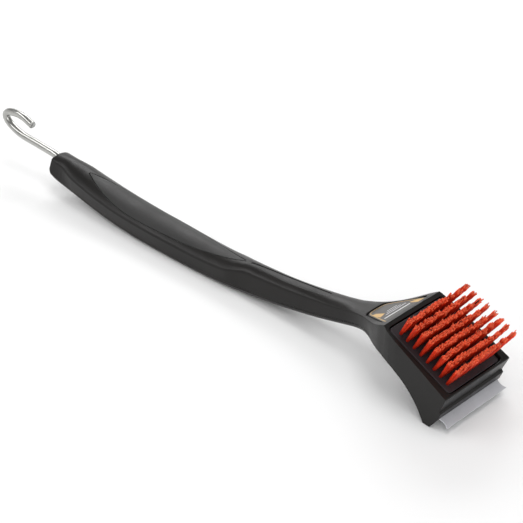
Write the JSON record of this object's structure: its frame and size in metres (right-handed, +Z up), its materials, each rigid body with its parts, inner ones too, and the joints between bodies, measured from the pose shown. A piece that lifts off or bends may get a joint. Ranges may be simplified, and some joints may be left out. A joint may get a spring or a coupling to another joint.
{
  "type": "grill cleaning brush",
  "caption": "Long bowed black handle with a soft grip and wire hanging hook, leaning square head with a clip-in red bristle cartridge and a flat steel scraper.",
  "frame": {"origin": "on the resting surface under the belly and the head's feet, at the middle of the overall length", "axes": "+X along the handle towards the scraper, +Y across, +Z up with the bristles facing up; the brush lies on its back"},
  "size_m": [0.533, 0.0788, 0.0752],
  "materials": {
    "shell_plastic": "moulded black plastic, satin with fine texture",
    "soft_grip": "soft-touch elastomer, fine stipple",
    "nameplate": "printed grey plate with gold border and plain bars, no text",
    "hook_steel": "bright drawn wire",
    "blade_steel": "brushed stainless sheet",
    "fastener_steel": "zinc-plated screws",
    "cartridge_plastic": "moulded dark plastic",
    "bristle_nylon": "red-orange nylon filament"
  },
  "bodies": {
    "handle": {"upper_shell": "shell_plastic", "lower_shell": "shell_plastic", "head_cover": "shell_plastic", "grip_inlay": "soft_grip", "neck_strip": "soft_grip", "nameplate": "nameplate", "hanging_hook": "hook_steel", "hook_pin": "fastener_steel", "scraper_blade": "blade_steel", "scraper_bar": "shell_plastic", "scraper_screws": "fastener_steel", "shell_screws": "fastener_steel", "cover_screws": "fastener_steel"},
    "cartridge": {"cartridge_base": "cartridge_plastic", "cartridge_back": "cartridge_plastic", "back_screws": "fastener_steel", "tuft_staples": "fastener_steel", "bristle_row_1": "bristle_nylon", "bristle_row_2": "bristle_nylon", "bristle_row_3": "bristle_nylon", "bristle_row_4": "bristle_nylon", "bristle_row_5": "bristle_nylon", "bristle_row_6": "bristle_nylon", "bristle_row_7": "bristle_nylon", "bristle_row_8": "bristle_nylon"},
    "catch": {"release_catch": "cartridge_plastic"}
  },
  "joints": [
    {"name": "cartridge_lift", "type": "slide", "parent": "handle", "child": "cartridge", "axis": [0.4274, 0, 0.9041], "range_m": [0, 0.03]},
    {"name": "catch_press", "type": "slide", "parent": "handle", "child": "catch", "axis": [0, 1, 0], "range_m": [0, 0.0015], "stiffness_N_per_m": 600, "springref_m": -0.0005}
  ]
}
